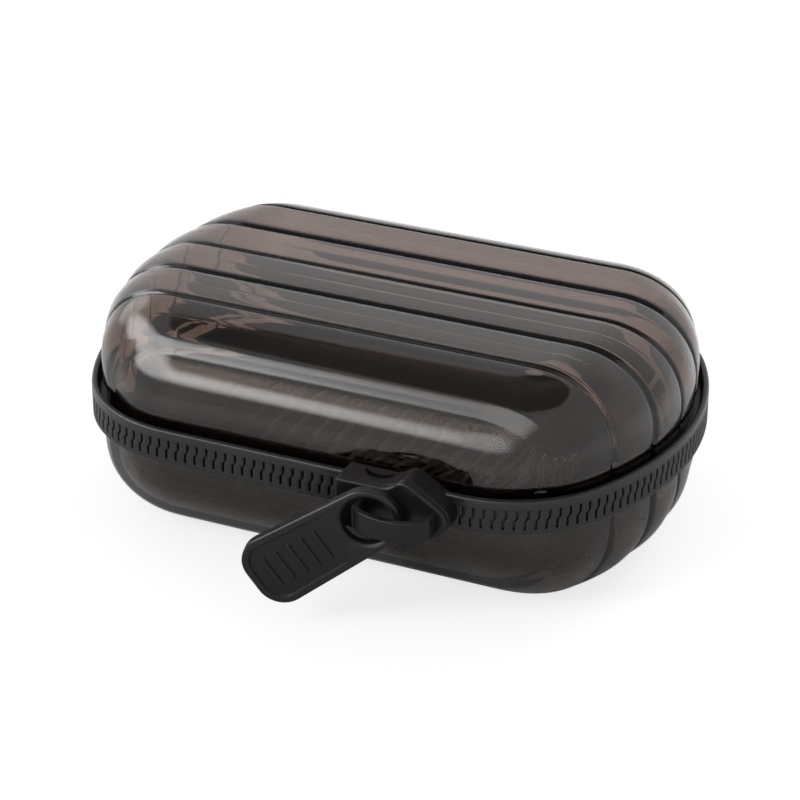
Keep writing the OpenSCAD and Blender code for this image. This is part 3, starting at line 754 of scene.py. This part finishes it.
def drain_dish():
    """A dish that follows the base: two skins, slots cut through its floor, a rib on each bar, and a foot."""
    pitch, slots_n, slot_half, slot_end = 4.6, 15, 0.65, 20.0
    rib_half, rib_up = 0.6, 1.4
    slots = (np.arange(slots_n) - (slots_n - 1) / 2) * pitch
    bars = (np.arange(slots_n + 1) - slots_n / 2) * pitch
    side = np.array([(-rib_half - 0.03, 0), (-rib_half + 0.02, 0.85), (-rib_half + 0.18, 1),
                     (rib_half - 0.18, 1), (rib_half - 0.02, 0.85), (rib_half + 0.03, 0)])
    on_bars = (bars[:, None] + side[None, :, 0]).reshape(-1)
    floor_x = np.concatenate([slots - slot_half, slots + slot_half, on_bars])
    lift = np.concatenate([np.zeros(2 * slots_n), np.tile(side[:, 1], len(bars))])
    order = np.argsort(floor_x)[::-1]
    floor_x, lift = floor_x[order], lift[order]
    near = np.array([0, 6, 12, 17, 19.0, 19.7, slot_end, 20.3, ROOF_Y])
    far = ROOF_Y + (HALF_W - TRAY_IN - ROOF_Y) * np.sin(np.radians(np.linspace(0, 90, 22)[1:]))
    rows = np.concatenate([near, far])
    rows = np.concatenate([-rows[:0:-1], rows])
    under = dish_skin(TRAY_DEPTH, TRAY_IN, rows, floor_x[::-1])
    above = dish_skin(TRAY_DEPTH - TRAY_T, TRAY_IN + TRAY_T, rows, floor_x[::-1])
    first = (under.shape[1] - len(floor_x)) // 2
    ribbed = (np.abs(rows) < slot_end - 0.1)[:, None]
    above[:, first:first + len(floor_x), 2] += ribbed * lift[None] * rib_up
    skin = Skin()
    a, b = skin.place(under), skin.place(above)
    open_row = np.abs(rows[:-1] + rows[1:]) / 2 < slot_end
    cols = [first + int(np.argmin(np.abs(floor_x - (s + slot_half)))) for s in slots[::-1]]
    hole = open_row[:, None] & np.isin(np.arange(under.shape[1] - 1), cols)[None]
    for n in (a, b):
        skin.faces += quads(n)[~hole].tolist()
        skin.cap(n[0])
        skin.cap(n[-1])
    r0, r1 = np.flatnonzero(open_row)[[0, -1]] + [0, 1]
    for k in cols:
        for c in (k, k + 1):
            skin.faces += strip(a[r0:r1 + 1, c], b[r0:r1 + 1, c])
        for r in (r0, r1):
            skin.faces.append([int(n) for n in (a[r, k], a[r, k + 1], b[r, k + 1], b[r, k])])
    skin.join(a, b)
    tray_foot(skin)
    return skin.object("drain_dish", tray_grey, "tray_plastic", sharp=40)


dish = drain_dish()
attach(dish, "drain_tray")
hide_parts("drain_tray")


# ---- camera ----
def photo_camera():
    """The photograph's camera: 24 degrees round from the front, 27 degrees up, a long lens. Its focal length
    and its shift aside and down are in pixels of the frame."""
    az, el, f, dist = math.radians(24.35), math.radians(27.48), 2757.0, 514.5
    aside, down, frame_px, sensor = 0.08, 31.29, 800, 36.0
    right = Vector((math.cos(az), math.sin(az), 0))
    up = Vector((-math.sin(az) * math.sin(el), math.cos(az) * math.sin(el), math.cos(el)))
    back = right.cross(up)
    cam = bpy.data.objects.new("camera", bpy.data.cameras.new("camera"))
    cam.data.sensor_width, cam.data.lens = sensor, sensor * f / frame_px
    cam.data.clip_start, cam.data.clip_end = 0.01, 20
    place = Vector((0, 0, BAND_Z1)) - right * (aside * dist / f) - up * (down * dist / f) + back * dist
    turn = Matrix((right, up, back)).transposed().to_4x4()
    cam.matrix_world = Matrix.Translation(place * MM) @ turn
    bpy.context.scene.collection.objects.link(cam)
    bpy.context.scene.camera = cam


# ---- studio ----
def lamp(name, place, target, size, watts):
    """An area lamp that gloss doesn't mirror; places in metres."""
    light = bpy.data.lights.new(name, "AREA")
    light.shape, light.size, light.size_y, light.energy = "RECTANGLE", size[0], size[1], watts
    o = bpy.data.objects.new(name, light)
    o.location = place
    o.rotation_euler = (Vector(target) - Vector(place)).to_track_quat("-Z", "Y").to_euler()
    o.visible_glossy = o.visible_transmission = False
    bpy.context.scene.collection.objects.link(o)


def pale_floor():
    """White floor with a faint shadow for the camera. Other rays see it grey, and gloss sees the floor glow,
    except near the box, where the glow fades out as a painted shadow."""
    half, near, far, glow_power = 6, 0.05, 0.13, 0.45
    mesh = bpy.data.meshes.new("floor")
    corners = [(-half, -half, 0), (half, -half, 0), (half, half, 0), (-half, half, 0)]
    mesh.from_pydata(corners, [], [(0, 1, 2, 3)])
    floor = bpy.data.objects.new("floor", mesh)
    bpy.context.scene.collection.objects.link(floor)
    material = bpy.data.materials.new("pale floor")
    p = Paint(material)
    out = p.add("ShaderNodeLightPath").socket.node.outputs
    wide = p.add("ShaderNodeVectorMath", {"operation": "MULTIPLY"}, {0: place_of(p), 1: (0.75, 1, 0)})
    reach = p.add("ShaderNodeVectorMath", {"operation": "LENGTH"}, {0: wide}, out=1)
    # painted shadow: the glow that gloss sees fades to nothing near the box
    floor_glow_past_painted_shadow = p.add("ShaderNodeMapRange", {"interpolation_type": "SMOOTHSTEP"},
                       {0: reach, 1: near, 2: far, 3: 0.0, 4: glow_power})
    camera_ray = Wire(p, out["Is Camera Ray"])
    seen = camera_ray * 0.76 + Wire(p, out["Is Glossy Ray"]) * floor_glow_past_painted_shadow
    grey, faint = (p.add("ShaderNodeBsdfDiffuse", {}, {"Color": (c, c, c, 1)}) for c in (0.6, 0.32))
    diffuse = p.add("ShaderNodeMixShader", {}, {0: camera_ray, 1: grey, 2: faint})
    glow = p.add("ShaderNodeEmission", {}, {"Color": (1, 1, 1, 1), "Strength": seen})
    both = p.add("ShaderNodeAddShader", {}, {0: diffuse, 1: glow})
    p.add("ShaderNodeOutputMaterial", {}, {"Surface": both})
    mesh.materials.append(material)


def softbox(p, where, azimuth, elevation, wide, tall, power):
    """A soft-edged oval of light in that direction, wide and tall given as sines of half its angles."""
    az, el = math.radians(azimuth), math.radians(elevation)
    centre = (math.sin(az) * math.cos(el), -math.cos(az) * math.cos(el), math.sin(el))
    across = (math.cos(az) / wide, math.sin(az) / wide, 0)
    up = (-math.sin(az) * math.sin(el) / tall, math.cos(az) * math.sin(el) / tall, math.cos(el) / tall)
    near, u, v = (p.add("ShaderNodeVectorMath", {"operation": "DOT_PRODUCT"}, {0: where, 1: axis}, out=1)
                  for axis in (centre, across, up))
    inside = 1 - (u * u + v * v)
    mask = p.add("ShaderNodeMapRange", {"interpolation_type": "SMOOTHSTEP"}, {0: inside, 1: 0.0, 2: 0.75})
    return mask * (near.maths("GREATER_THAN", 0.0) * power)


def studio_world():
    """Pale walls low down, a dark ceiling and soft boxes for gloss and see-through; even light for the rest."""
    world = bpy.data.worlds.new("studio")
    bpy.context.scene.world = world
    p = Paint(world)
    out = p.add("ShaderNodeLightPath").socket.node.outputs
    where = p.add("ShaderNodeTexCoord", {}, {}, out=0)
    height = p.add("ShaderNodeSeparateXYZ", {}, {0: where}, out=2)
    walls = p.add("ShaderNodeMapRange", {"interpolation_type": "SMOOTHSTEP"},
                  {0: height, 1: 0.865, 2: 0.895, 3: 1.0, 4: 0.25})
    boxes = (softbox(p, where, -62, 35, 0.62, 0.3, 6.0) + softbox(p, where, -12, 37, 0.5, 0.3, 3.0)
             + softbox(p, where, -112, 24, 0.35, 0.3, 1.6))
    seen, mirrored, lit = (p.add("ShaderNodeBackground", {}, {"Color": (1, 1, 1, 1), "Strength": power})
                           for power in (1.0, walls + boxes, 0.75))
    by_gloss = Wire(p, out["Is Glossy Ray"]) + Wire(p, out["Is Transmission Ray"])
    unseen = p.add("ShaderNodeMixShader", {}, {0: by_gloss, 1: lit, 2: mirrored})
    both = p.add("ShaderNodeMixShader", {}, {0: Wire(p, out["Is Camera Ray"]), 1: unseen, 2: seen})
    p.add("ShaderNodeOutputWorld", {}, {"Surface": both})


photo_camera()
pale_floor()
studio_world()
lamp("front left softbox", (-0.55, -0.95, 0.75), (0, -0.03, 0.03), (0.5, 0.35), 6)
lamp("back softbox", (0.3, 1.1, 0.8), (0, 0, 0.03), (0.8, 0.5), 6)

scene = bpy.context.scene
scene.view_settings.view_transform = "Standard"
